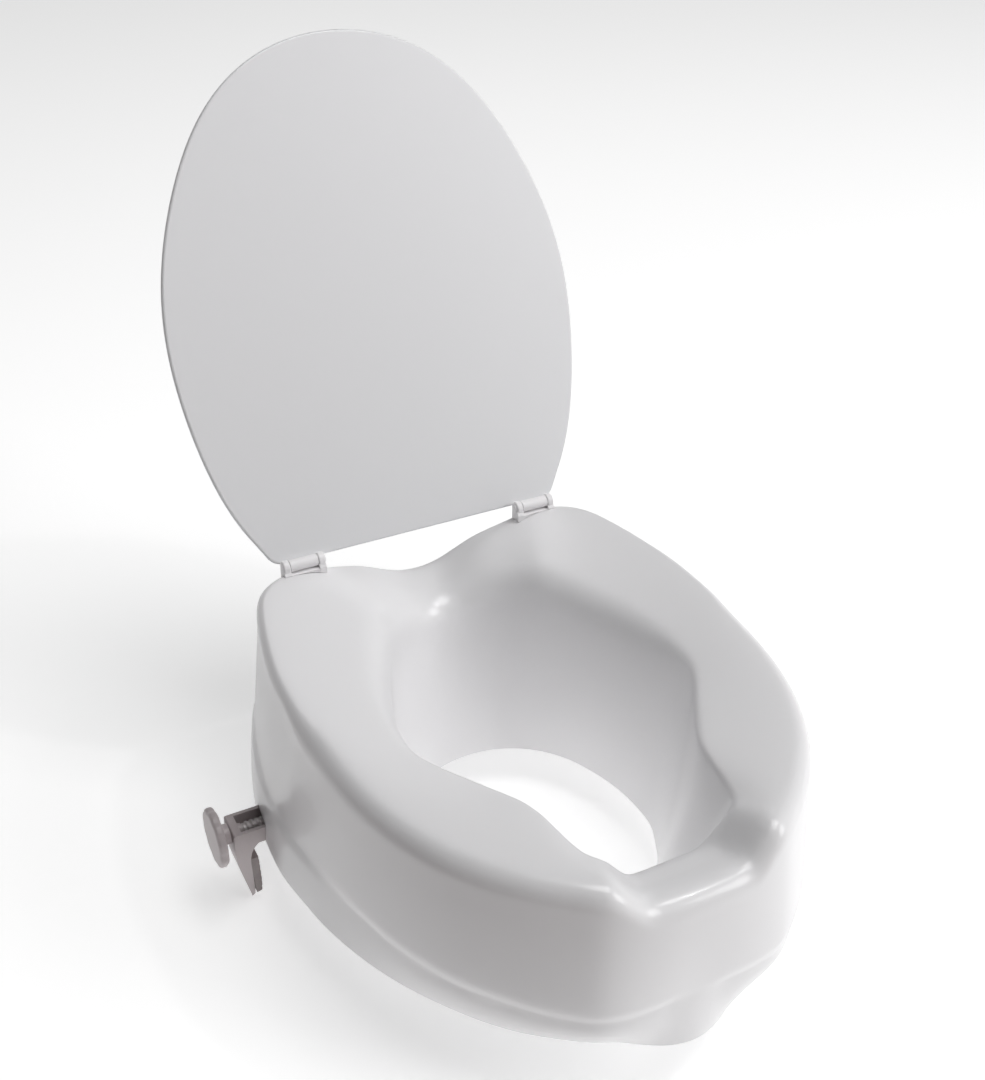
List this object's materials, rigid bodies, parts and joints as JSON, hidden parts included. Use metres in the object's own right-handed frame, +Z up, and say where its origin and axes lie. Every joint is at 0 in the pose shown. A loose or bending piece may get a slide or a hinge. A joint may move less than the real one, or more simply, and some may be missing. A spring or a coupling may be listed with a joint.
{
  "type": "raised toilet seat",
  "caption": "Raised toilet seat with keyhole aperture, front and rear recesses, hinged flat lid and screw-operated side clamps for the bowl.",
  "frame": {"origin": "centre of the aperture, in the plane where the skirt rests on the bowl", "axes": "+Z up, -Y towards the front of the seat, +X to the right seen from the front"},
  "size_m": [0.4592, 0.589, 0.5805],
  "materials": {
    "seat_plastic": "glossy white moulding",
    "lid_plastic": "glossy white moulding",
    "hinge_plastic": "semi-matt off-white moulding",
    "clamp_plastic": "semi-matt off-white moulding",
    "pad_rubber": "matt light grey rubber",
    "screw_steel": "plain bright screws"
  },
  "bodies": {
    "seat": {"seat_body": "seat_plastic", "hinge_bracket_left": "hinge_plastic", "hinge_bracket_right": "hinge_plastic", "hinge_pin_left": "hinge_plastic", "hinge_pin_right": "hinge_plastic", "hinge_nut_left": "hinge_plastic", "hinge_nut_right": "hinge_plastic", "clamp_guide_left": "seat_plastic", "clamp_guide_right": "seat_plastic", "clamp_nut_left": "clamp_plastic", "clamp_nut_right": "clamp_plastic"},
    "lid": {"lid_panel": "lid_plastic", "hinge_leaf_left": "hinge_plastic", "hinge_leaf_right": "hinge_plastic", "hinge_leaf_screws": "screw_steel"},
    "jaw_left": {"clamp_bracket_left": "clamp_plastic", "clamp_pad_left": "pad_rubber"},
    "jaw_right": {"clamp_bracket_right": "clamp_plastic", "clamp_pad_right": "pad_rubber"},
    "spindle_left": {"clamp_screw_left": "clamp_plastic", "clamp_knob_left": "clamp_plastic", "clamp_collar_left": "clamp_plastic"},
    "spindle_right": {"clamp_screw_right": "clamp_plastic", "clamp_knob_right": "clamp_plastic", "clamp_collar_right": "clamp_plastic"}
  },
  "joints": [
    {"name": "lid_hinge", "type": "hinge", "parent": "seat", "child": "lid", "pos_m": [0, 0.2233, 0.1538], "axis": [1, 0, 0], "range_deg": [0, 114.4]},
    {"name": "jaw_left_slide", "type": "slide", "parent": "seat", "child": "jaw_left", "axis": [1, 0, 0], "range_m": [0, 0.024]},
    {"name": "jaw_right_slide", "type": "slide", "parent": "seat", "child": "jaw_right", "axis": [-1, 0, 0], "range_m": [0, 0.024]},
    {"name": "knob_left_spin", "type": "hinge", "parent": "jaw_left", "child": "spindle_left", "pos_m": [-0.2, 0.11, 0.0076], "axis": [1, 0, 0], "range_deg": [0, 2166]},
    {"name": "knob_right_spin", "type": "hinge", "parent": "jaw_right", "child": "spindle_right", "pos_m": [0.2, 0.11, 0.0076], "axis": [-1, 0, 0], "range_deg": [0, 2166]}
  ],
  "couplings": [
    {"joint": "knob_left_spin", "follows": "jaw_left_slide", "rad_per_m": 1570.8},
    {"joint": "knob_right_spin", "follows": "jaw_right_slide", "rad_per_m": 1570.8}
  ]
}
